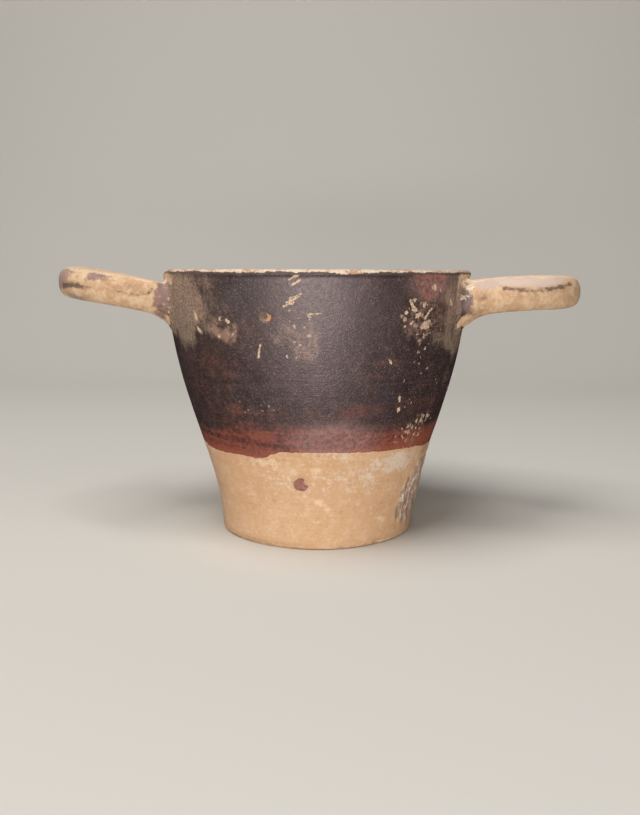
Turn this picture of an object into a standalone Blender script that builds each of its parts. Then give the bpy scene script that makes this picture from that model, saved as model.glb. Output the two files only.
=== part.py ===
"""A skyphos: a wheel-thrown drinking cup with two horizontal loop handles, luted on and fired as one piece.

Metres, +Z up. The origin is the middle of the underside, on the turning axis.
The handles point along -X and +X. The side towards -Y is the front, with the crusted patch low on its right.
"""

import math

import bmesh
import bpy
from mathutils import Vector
from mathutils.geometry import interpolate_bezier

MM = 0.001

# The turned cup
HEIGHT = 102.8 * MM
RIM_RADIUS = 60.0 * MM
BASE_RADIUS = 38.4 * MM
LIP_WALL = 3.2 * MM
LIP_BEAD = 0.4 * MM
SIDE_WALL = 4.4 * MM
FLOOR = 6.5 * MM
BASE_EDGE_ROUND = 1.4 * MM
INNER_CORNER_ROUND = 13.0 * MM

# The outside is one Bezier curve from foot to lip. Each pull is a share of the height,
# then a share of the way out from the base radius to the rim radius.
FOOT_PULL = (0.32, 0.055)
SHOULDER_PULL = (0.485, 0.85)

# The weight of the left handle pulled the lip out of level while the clay was soft
LIP_DIP = 1.9 * MM
LIP_DIP_ANGLE = 184.0
LIP_DIP_SPREAD = 22.0
LIP_TILT = 0.4 * MM
LIP_TILT_ANGLE = 238.0
SAG_DEPTH = 24.0 * MM

# The swelling under the lime crust, low on the right of the front
CRUST_ANGLE = -18.0
CRUST_HALF_WIDTH = 17.0 * MM
CRUST_HEIGHT = 20.0 * MM
CRUST_HALF_HEIGHT = 15.0 * MM
CRUST_SWELLING = 1.0 * MM

# What both handles share. The reach is measured outwards from the lip.
HANDLE_REACH = 42.4 * MM
ROOT_ANGLE = 19.5
ARM_SPLAY = 11.0
ARM_RUN = 13.0 * MM
SECTION_SQUARENESS = 2.6
FILLET_SIDE = 2.6 * MM
FILLET_BITE = 0.3 * MM

# What differs from handle to handle. The drop is from the lip to the top of the front root,
# the rise from the front root to the loop's middle, and the back root sits lower than the front one.
LEFT_HANDLE = {
    "side": -1,
    "root_thick": 12.4 * MM,
    "end_thick": 12.2 * MM,
    "wide": 11.6 * MM,
    "drop": 4.7 * MM,
    "rise": 6.2 * MM,
    "slope": 13.0,
    "back_drop": 3.6 * MM,
    "fillet_above": 1.2 * MM,
    "fillet_below": 6.5 * MM,
}
RIGHT_HANDLE = {
    "side": 1,
    "root_thick": 13.4 * MM,
    "end_thick": 12.0 * MM,
    "wide": 12.0 * MM,
    "drop": 4.4 * MM,
    "rise": 2.4 * MM,
    "slope": 7.0,
    "back_drop": 1.8 * MM,
    "fillet_above": 1.8 * MM,
    "fillet_below": 9.0 * MM,
}

# How finely the shapes are cut
TURNS = 72
SIDE_ROWS = 14
ARC_STEPS = 4
SECTION_SIDES = 14
FILLET_STEPS = 4
LOOP_STEPS = 9
SHARP_ANGLE = 50.0

CLAY_COLOUR = (0.62, 0.43, 0.26, 1.0)
CLAY_ROUGHNESS = 0.75


def clear_scene():
    for obj in list(bpy.data.objects):
        bpy.data.objects.remove(obj)


def smooth_step(value):
    share = min(max(value, 0.0), 1.0)
    return share * share * (3 - 2 * share)


def bell(value):
    """1 in the middle, falling to 0 at a distance of 1."""
    return smooth_step(1 - abs(value))


def turn_between(start, end):
    """The turn from one angle to another in degrees, from -180 to 180."""
    return (end - start + 180) % 360 - 180


# The turned profile


def side_curve():
    """Points (radius, height) of the outside, from the foot to the lip."""
    width = RIM_RADIUS - BASE_RADIUS
    foot = Vector((BASE_RADIUS, 0, 0))
    lip = Vector((RIM_RADIUS, 0, HEIGHT))
    pulls = [Vector((BASE_RADIUS + out * width, 0, up * HEIGHT)) for up, out in (FOOT_PULL, SHOULDER_PULL)]
    return [(point.x, point.z) for point in interpolate_bezier(foot, *pulls, lip, 10 * SIDE_ROWS)]


SIDE = side_curve()


def outer_radius(z):
    for (low_radius, low), (high_radius, high) in zip(SIDE, SIDE[1:]):
        if z <= high:
            return low_radius + (high_radius - low_radius) * (z - low) / (high - low)
    return RIM_RADIUS


def wall_at(z):
    """The wall's thickness at a height: full in the lower half, then drawn thin towards the lip."""
    return SIDE_WALL + (LIP_WALL - SIDE_WALL) * smooth_step(2 * z / HEIGHT - 1)


def inner_radius(z):
    step = HEIGHT / 200
    slope = (outer_radius(z + step) - outer_radius(z - step)) / (2 * step)
    return outer_radius(z) - wall_at(z) * math.hypot(1, slope)


def arc(centre, radius, start, end):
    """Points of an arc in the profile plane, its angles in degrees from the outward direction."""
    turns = [math.radians(start + (end - start) * i / ARC_STEPS) for i in range(ARC_STEPS + 1)]
    return [(centre[0] + radius * math.cos(turn), centre[1] + radius * math.sin(turn)) for turn in turns]


def cup_profile():
    """The wall's outline, from the middle of the underside round the lip to the middle of the floor."""
    edge = BASE_EDGE_ROUND
    foot = arc((outer_radius(edge) - edge, edge), edge, -90, 0)
    lip_round = LIP_WALL / 2
    lip_foot = HEIGHT - lip_round
    heights = [edge + (lip_foot - edge) * i / SIDE_ROWS for i in range(1, SIDE_ROWS)]
    outside = [(outer_radius(z), z) for z in heights]
    lip_centre = (outer_radius(lip_foot) - lip_round + LIP_BEAD, lip_foot)
    lip = arc(lip_centre, lip_round, -45, 60) + arc(lip_centre, lip_round, 60, 180)[1:]
    corner_top = FLOOR + INNER_CORNER_ROUND
    inside = [(inner_radius(z), z) for z in reversed(heights) if z > corner_top]
    corner = arc((inner_radius(corner_top) - INNER_CORNER_ROUND, corner_top), INNER_CORNER_ROUND, 0, -90)
    return [(0.0, 0.0)] + foot + outside + lip + inside + corner + [(0.0, FLOOR)]


# Where the real cup isn't true


def lip_shift(angle, z):
    """How far the wall sits above its true level near the lip."""
    near_lip = smooth_step((z - HEIGHT + SAG_DEPTH) / SAG_DEPTH)
    dip = LIP_DIP * bell(turn_between(LIP_DIP_ANGLE, angle) / LIP_DIP_SPREAD)
    tilt = LIP_TILT * math.cos(math.radians(turn_between(LIP_TILT_ANGLE, angle)))
    return near_lip * (tilt - dip)


def swelling(angle, z):
    """How far the crusted patch stands out from the side."""
    across = math.radians(turn_between(CRUST_ANGLE, angle)) * outer_radius(z)
    return CRUST_SWELLING * bell(across / CRUST_HALF_WIDTH) * bell((z - CRUST_HEIGHT) / CRUST_HALF_HEIGHT)


def settled(point):
    """Where a point of the true turned shape lies on the real cup."""
    radius = math.hypot(point.x, point.y)
    if radius < BASE_RADIUS / 2:
        return point
    angle = math.degrees(math.atan2(point.y, point.x))
    outside = radius > outer_radius(point.z) - LIP_WALL / 2
    growth = 1 + swelling(angle, point.z) / radius if outside else 1.0
    return Vector((point.x * growth, point.y * growth, point.z + lip_shift(angle, point.z)))


def object_from(build, name):
    """Turn a finished bmesh into an object, with its faces pointing outwards."""
    bmesh.ops.recalc_face_normals(build, faces=build.faces)
    mesh = bpy.data.meshes.new(name)
    build.to_mesh(mesh)
    build.free()
    obj = bpy.data.objects.new(name, mesh)
    bpy.context.collection.objects.link(obj)
    return obj


def make_cup():
    build = bmesh.new()
    corners = [build.verts.new((radius, 0, z)) for radius, z in cup_profile()]
    edges = [build.edges.new(pair) for pair in zip(corners, corners[1:])]
    bmesh.ops.spin(
        build,
        geom=corners + edges,
        cent=(0, 0, 0),
        axis=(0, 0, 1),
        angle=2 * math.pi,
        steps=TURNS,
        use_merge=True,
    )
    bmesh.ops.remove_doubles(build, verts=build.verts, dist=0.01 * MM)
    for vert in build.verts:
        vert.co = settled(vert.co)
    return object_from(build, "skyphos")


# The handles, shaped at +X and mirrored for the left side. Each has two arms: arm is -1 in front, 1 behind.


def wall_hit(start, direction):
    """The point where a line that starts inside the cup comes out through the outside."""
    near, far = 0.0, 2 * RIM_RADIUS
    for _ in range(40):
        middle = (near + far) / 2
        point = start + direction * middle
        inside = math.hypot(point.x, point.y) < outer_radius(point.z)
        near, far = (middle, far) if inside else (near, middle)
    return start + direction * near


def root_of(handle, arm):
    """The middle of an arm's root on the wall, and the direction in which the arm leaves it."""
    front = HEIGHT - handle["drop"] - handle["root_thick"] / 2
    z = front if arm < 0 else front - handle["back_drop"]
    turn = math.radians(arm * ROOT_ANGLE)
    root = Vector((math.cos(turn) * outer_radius(z), math.sin(turn) * outer_radius(z), z))
    splay = math.radians(arm * ARM_SPLAY)
    climb = math.tan(math.radians(handle["slope"]))
    return root, Vector((math.cos(splay), math.sin(splay), climb)).normalized()


def square_to(heading, arm):
    """The directions square to an arm's heading: away from the loop's hole, and up."""
    sideways = heading.cross(Vector((0, 0, 1))).normalized()
    return -arm * sideways, sideways.cross(heading)


def section(handle, thick):
    """Corners of the rounded section: each corner's offset (sideways, up) and its fillet against the wall."""
    power = SECTION_SQUARENESS
    fillet_above = min(handle["fillet_above"], handle["drop"] / 2)
    corners = []
    for i in range(SECTION_SIDES):
        turn = 2 * math.pi * (i + 0.5) / SECTION_SIDES
        across, up = math.cos(turn), math.sin(turn)
        reach = (abs(across) ** power + abs(up) ** power) ** (-1 / power)
        offset = Vector((across * reach * handle["wide"] / 2, up * reach * thick / 2))
        upright = fillet_above if up > 0 else handle["fillet_below"]
        corners.append((offset, FILLET_SIDE * across**2 + upright * up**2))
    return corners


def root_rings(handle, arm):
    """Rings from inside the wall out along the fillet, each corner at its own distance from the wall."""
    root, heading = root_of(handle, arm)
    outwards, up = square_to(heading, arm)
    inside = root - heading * BASE_RADIUS / 2
    rings = [[] for _ in range(FILLET_STEPS + 1)]
    for offset, fillet in section(handle, handle["root_thick"]):
        for step, ring in enumerate(rings):
            turn = math.pi / 2 * max(step - 1, 0) / FILLET_STEPS
            flared = offset + offset.normalized() * fillet * (1 - math.sin(turn))
            surface = wall_hit(inside + outwards * flared.x + up * flared.y, heading)
            run = fillet - (fillet + FILLET_BITE) * math.cos(turn) if step else -wall_at(surface.z) / 2
            ring.append(surface + heading * run)
    return rings


def arm_rings(handle, arm):
    """Rings from the end of the root's fillet to the loop's middle."""
    root, heading = root_of(handle, arm)
    front_root = root_of(handle, -1)[0]
    start = root + heading * handle["fillet_below"]
    middle = Vector((RIM_RADIUS + HANDLE_REACH - handle["wide"] / 2, 0, front_root.z + handle["rise"]))
    shoulder = Vector((middle.x, root.y, middle.z))
    path = interpolate_bezier(start, start + heading * ARM_RUN, shoulder, middle, LOOP_STEPS + 1)
    headings = [heading] + [path[i + 1] - path[i - 1] for i in range(1, LOOP_STEPS)] + [middle - shoulder]
    rings = []
    for i, centre in enumerate(path):
        thick = handle["root_thick"] + (handle["end_thick"] - handle["root_thick"]) * i / LOOP_STEPS
        outwards, up = square_to(headings[i].normalized(), arm)
        rings.append([centre + outwards * offset.x + up * offset.y for offset, _ in section(handle, thick)])
    return rings


def make_handle(name, handle):
    """The whole loop, from the front root round its middle to the back root."""
    front, back = (root_rings(handle, arm) + arm_rings(handle, arm) for arm in (-1, 1))
    build = bmesh.new()
    loops = []
    for ring in front + back[-2::-1]:
        corners = [build.verts.new((handle["side"] * point.x, point.y, point.z)) for point in ring]
        loops.append([build.edges.new((corners[i - 1], corners[i])) for i in range(SECTION_SIDES)])
    for near, far in zip(loops, loops[1:]):
        bmesh.ops.bridge_loops(build, edges=near + far)
    bmesh.ops.holes_fill(build, edges=loops[0] + loops[-1], sides=SECTION_SIDES)
    loop = object_from(build, name)
    loop.hide_render = True
    loop.display_type = "WIRE"
    return loop


def clay():
    material = bpy.data.materials.new("fired_clay")
    material.use_nodes = True
    shader = material.node_tree.nodes["Principled BSDF"]
    shader.inputs["Base Color"].default_value = CLAY_COLOUR
    shader.inputs["Roughness"].default_value = CLAY_ROUGHNESS
    shader.inputs["Metallic"].default_value = 0.0
    return material


def main():
    clear_scene()
    cup = make_cup()
    cup.data.materials.append(clay())
    cup.data.shade_smooth()
    cup.data.set_sharp_from_angle(angle=math.radians(SHARP_ANGLE))
    for name, handle in (("left_handle", LEFT_HANDLE), ("right_handle", RIGHT_HANDLE)):
        luting = cup.modifiers.new(name, "BOOLEAN")
        luting.operation = "UNION"
        luting.object = make_handle(name, handle)


main()
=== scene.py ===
import bisect
import functools
import math

import bmesh
import bpy
from mathutils import Euler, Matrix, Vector, noise
from mathutils.geometry import interpolate_bezier, intersect_point_line


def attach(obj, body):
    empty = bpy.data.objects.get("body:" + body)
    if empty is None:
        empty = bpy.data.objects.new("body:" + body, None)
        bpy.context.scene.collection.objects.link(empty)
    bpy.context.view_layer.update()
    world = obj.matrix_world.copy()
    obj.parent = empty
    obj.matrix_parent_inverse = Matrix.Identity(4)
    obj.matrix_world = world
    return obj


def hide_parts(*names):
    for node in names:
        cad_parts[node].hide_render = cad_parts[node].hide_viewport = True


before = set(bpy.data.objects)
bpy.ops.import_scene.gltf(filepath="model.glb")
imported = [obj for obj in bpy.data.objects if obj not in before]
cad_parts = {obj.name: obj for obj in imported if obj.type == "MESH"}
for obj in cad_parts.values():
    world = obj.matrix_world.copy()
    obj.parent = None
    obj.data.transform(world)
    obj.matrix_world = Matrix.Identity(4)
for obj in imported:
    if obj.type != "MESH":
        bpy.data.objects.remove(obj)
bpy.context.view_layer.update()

mm = 0.001  # the cup is shaped in millimetres and brought to metres at the end

# camera, at the photograph's viewing angle: level with the lip and looking down, right handle a little nearer
view = {"distance": 350.0, "height": 103.5, "turn": 2.7, "tiltDown": 9.08, "aside": 1.12, "lens": 38.65}


def placeCamera():
    turn = math.radians(view["turn"])
    lens = bpy.data.cameras.new("camera")
    lens.lens = view["lens"]
    lens.clip_start = 0.01
    camera = bpy.data.objects.new("camera", lens)
    bpy.context.collection.objects.link(camera)
    back = Vector((math.sin(turn), -math.cos(turn), 0)) * view["distance"]
    right = Vector((math.cos(turn), math.sin(turn), 0)) * view["aside"]
    camera.location = (back + right + Vector((0, 0, view["height"]))) * mm
    camera.rotation_euler = Euler((math.radians(90 - view["tiltDown"]), 0, turn))
    bpy.context.scene.camera = camera


placeCamera()
print("camera placed")

# the thrown cup, in millimetres; the two pulls bend the side, as shares of the height and of base to rim
cup = {
    "height": 102.8,
    "rimRadius": 60.0,
    "baseRadius": 38.4,
    "lipWall": 3.2,
    "lipBead": 0.2,
    "sideWall": 4.4,
    "floor": 6.5,
    "footRound": 1.4,
    "cornerRound": 13.0,
    "footPull": (0.32, 0.055),
    "shoulderPull": (0.485, 0.85),
    "underHollow": 0.5,
    "segments": 384,
    "sideStep": 0.86,
    "insideStep": 2.4,
    # the lip sagged and tilted a little while soft
    "lipDip": 1.9,
    "dipAngle": 184.0,
    "dipSpread": 22.0,
    "lipTilt": 0.4,
    "tiltAngle": 238.0,
    "sagDepth": 24.0,
    # low on the right the wall swells a little under the crust
    "swellAngle": -18.0,
    "swellWidth": 17.0,
    "swellMiddle": 20.0,
    "swellHeight": 15.0,
    "swellRise": 1.0,
}

# the rolled handles, shaped at +X; side -1 mirrors the left one
handles = {
    "reach": 42.4,
    "rootAngle": 19.5,
    "splay": 11.0,
    "run": 13.0,
    "squareness": 2.6,
    "filletSide": 2.6,
    "bite": 0.15,
    "sunk": 1.8,
    "taper": 62.0,
    "sides": 44,
    "rootSteps": 14,
    "loopSteps": 60,
    "left": {
        "side": -1,
        "rootThick": 12.7,
        "endThick": 12.2,
        "wide": 11.6,
        "drop": 5.4,
        "rise": 7.0,
        "slope": 14.0,
        "backDrop": 3.0,
        "filletAbove": 1.2,
        "filletBelow": 7.6,
    },
    "right": {
        "side": 1,
        "rootThick": 14.0,
        "endThick": 12.4,
        "wide": 12.0,
        "drop": 4.0,
        "rise": 2.4,
        "slope": 8.0,
        "backDrop": 1.8,
        "filletAbove": 2.2,
        "filletBelow": 10.0,
    },
}


def smoothStep(value):
    share = min(max(value, 0.0), 1.0)
    return share * share * (3 - 2 * share)


def bell(value):
    return smoothStep(1 - abs(value))


def turnBetween(start, end):
    return (end - start + 180) % 360 - 180


def sideCurve():
    width = cup["rimRadius"] - cup["baseRadius"]
    foot = Vector((cup["baseRadius"], 0, 0))
    lip = Vector((cup["rimRadius"], 0, cup["height"]))
    pulls = []
    for up, out in (cup["footPull"], cup["shoulderPull"]):
        pulls.append(Vector((cup["baseRadius"] + out * width, 0, up * cup["height"])))
    return interpolate_bezier(foot, *pulls, lip, 400)


side = sideCurve()
sideHeights = [point.z for point in side]


def outerRadius(z):
    if z <= 0:
        return side[0].x
    if z >= cup["height"]:
        return side[-1].x
    above = bisect.bisect_right(sideHeights, z)
    low, high = side[above - 1], side[above]
    return low.x + (high.x - low.x) * (z - low.z) / (high.z - low.z)


def wallAt(z):
    return cup["sideWall"] + (cup["lipWall"] - cup["sideWall"]) * smoothStep(2 * z / cup["height"] - 1)


def innerRadius(z):
    step = cup["height"] / 200
    slope = (outerRadius(z + step) - outerRadius(z - step)) / (2 * step)
    return outerRadius(z) - wallAt(z) * math.hypot(1, slope)


def arc(centre, radius, start, end, steps):
    turns = [math.radians(start + (end - start) * i / steps) for i in range(steps + 1)]
    return [(centre[0] + radius * math.cos(turn), centre[1] + radius * math.sin(turn)) for turn in turns]


def cupProfile():
    edge = cup["footRound"]
    lipRound = cup["lipWall"] / 2
    lipFoot = cup["height"] - lipRound
    footFlat = outerRadius(edge) - edge
    restRing = 7.0
    underside = []
    for i in range(16):
        radius = footFlat * i / 16
        underside.append((radius, cup["underHollow"] * smoothStep((footFlat - restRing - radius) / 6)))
    foot = arc((footFlat, edge), edge, -90, 0, 6)
    beadStart = lipFoot - lipRound * math.sin(math.radians(45))
    rows = round((beadStart - edge) / cup["sideStep"])
    climb = (beadStart - edge) / rows
    outside = [(outerRadius(z), z) for z in (edge + climb * i for i in range(1, rows))]
    lipCentre = (outerRadius(lipFoot) - lipRound + cup["lipBead"], lipFoot)
    lip = arc(lipCentre, lipRound, -45, 180, 14)
    cornerTop = cup["floor"] + cup["cornerRound"]
    rows = round((lipFoot - cornerTop) / cup["insideStep"])
    drop = (cornerTop - lipFoot) / rows
    inside = [(innerRadius(z), z) for z in (lipFoot + drop * i for i in range(1, rows))]
    corner = arc((innerRadius(cornerTop) - cup["cornerRound"], cornerTop), cup["cornerRound"], 0, -90, 9)
    floor = [(corner[-1][0] * i / 10, cup["floor"]) for i in range(9, -1, -1)]
    return underside + foot + outside + lip + inside + corner + floor


def objectFrom(build, name):
    bmesh.ops.recalc_face_normals(build, faces=build.faces)
    mesh = bpy.data.meshes.new(name)
    build.to_mesh(mesh)
    build.free()
    piece = bpy.data.objects.new(name, mesh)
    bpy.context.collection.objects.link(piece)
    return piece


def throwCup():
    build = bmesh.new()
    corners = [build.verts.new((radius, 0, z)) for radius, z in cupProfile()]
    edges = [build.edges.new(pair) for pair in zip(corners, corners[1:])]
    bmesh.ops.spin(
        build,
        geom=corners + edges,
        cent=(0, 0, 0),
        axis=(0, 0, 1),
        angle=2 * math.pi,
        steps=cup["segments"],
        use_merge=True,
    )
    bmesh.ops.remove_doubles(build, verts=build.verts, dist=0.01)
    return objectFrom(build, "thrownCup")


# an arm is -1 in front and 1 behind; both run from just inside the wall to the middle of the loop


def rootOf(handle, arm):
    front = cup["height"] - handle["drop"] - handle["rootThick"] / 2
    z = front if arm < 0 else front - handle["backDrop"]
    turn = math.radians(arm * handles["rootAngle"])
    root = Vector((math.cos(turn) * outerRadius(z), math.sin(turn) * outerRadius(z), z))
    splay = math.radians(arm * handles["splay"])
    climb = math.tan(math.radians(handle["slope"]))
    return root, Vector((math.cos(splay), math.sin(splay), climb)).normalized()


def armPath(handle, arm):
    root, heading = rootOf(handle, arm)
    frontRoot = rootOf(handle, -1)[0]
    outermost = cup["rimRadius"] + handles["reach"] - handle["wide"] / 2
    middle = Vector((outermost, 0, frontRoot.z + handle["rise"]))
    start = root + heading * handle["filletBelow"]
    shoulder = Vector((middle.x, root.y, middle.z))
    steps = handles["rootSteps"]
    inside = root - heading * handles["sunk"]
    straight = [(inside.lerp(start, i / steps), heading) for i in range(steps)]
    bend = start + heading * handles["run"]
    path = interpolate_bezier(start, bend, shoulder, middle, handles["loopSteps"] + 1)
    headings = [heading] + [(path[i + 1] - path[i - 1]).normalized() for i in range(1, len(path) - 1)]
    headings.append((middle - shoulder).normalized())
    return straight + list(zip(path, headings))


def gapToWall(point):
    return math.hypot(point.x, point.y) - outerRadius(point.z)


def flared(point, outward, fillet):
    # a corner of the arm moves outwards as it nears the wall, along a quarter circle
    grown = 0.0
    for _ in range(4):
        gap = min(max(gapToWall(point + outward * grown) + handles["bite"], 0.0), fillet)
        grown = fillet - math.sqrt(fillet**2 - (fillet - gap) ** 2)
    return point + outward * grown


def armRing(build, handle, centre, heading, arm, share):
    sideways = heading.cross(Vector((0, 0, 1))).normalized()
    up = sideways.cross(heading)
    outwards = -arm * sideways
    thick = handle["rootThick"] + (handle["endThick"] - handle["rootThick"]) * share
    power = handles["squareness"]
    corners = bmesh.ops.create_circle(build, cap_ends=False, segments=handles["sides"], radius=1)["verts"]
    loop = list(dict.fromkeys(edge for corner in corners for edge in corner.link_edges))
    for corner in corners:
        across, rise = corner.co.x, corner.co.y
        size = (abs(across) ** power + abs(rise) ** power) ** (-1 / power)
        offset = outwards * (across * size * handle["wide"] / 2) + up * (rise * size * thick / 2)
        # above and below, the clay was drawn out along the wall to a point
        upright = handle["filletAbove"] if rise > 0 else handle["filletBelow"]
        taper = max(0.0, 1 - math.acos(min(abs(rise), 1.0)) / math.radians(handles["taper"]))
        fillet = handles["filletSide"] * across**2 + upright * taper
        point = flared(centre + offset, offset.normalized(), fillet)
        if share == 0:
            # the arm's end follows the wall, just inside it
            point = centre + offset + offset.normalized() * fillet
            inwards = (outerRadius(point.z) - handles["sunk"]) / math.hypot(point.x, point.y)
            point = Vector((point.x * inwards, point.y * inwards, point.z))
        corner.co = (handle["side"] * point.x, point.y, point.z)
    return loop


def rollHandle(name, handle):
    build = bmesh.new()
    arms = []
    for arm in (-1, 1):
        path = armPath(handle, arm)
        last = len(path) - 1
        stations = path if arm < 0 else path[:-1]
        arms.append([armRing(build, handle, *station, arm, i / last) for i, station in enumerate(stations)])
    loops = arms[0] + arms[1][::-1]
    for near, far in zip(loops, loops[1:]):
        bmesh.ops.bridge_loops(build, edges=near + far)
    bmesh.ops.holes_fill(build, edges=loops[0] + loops[-1], sides=handles["sides"])
    return objectFrom(build, name)


def luteHandles(body, loops):
    for loop in loops:
        luting = body.modifiers.new(loop.name, "BOOLEAN")
        luting.operation = "UNION"
        luting.object = loop
    whole = body.evaluated_get(bpy.context.evaluated_depsgraph_get())
    mesh = bpy.data.meshes.new_from_object(whole)
    for piece in [body, *loops]:
        bpy.data.objects.remove(piece)
    return mesh


def smoothRoots(build):
    # wet fingers ran the clay of each arm into the wall
    seams = []
    for vert in build.verts:
        angle = math.degrees(math.atan2(vert.co.y, vert.co.x))
        nearRoot = min(abs(angle), 180 - abs(angle)) < handles["rootAngle"] + 14
        if nearRoot and 72 < vert.co.z < cup["height"] - cup["lipWall"] and -0.4 < gapToWall(vert.co) < 3.2:
            seams.append(vert)
    everyWay = {"use_axis_x": True, "use_axis_y": True, "use_axis_z": True}
    for _ in range(20):
        bmesh.ops.smooth_vert(build, verts=seams, factor=0.5, **everyWay)


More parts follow.
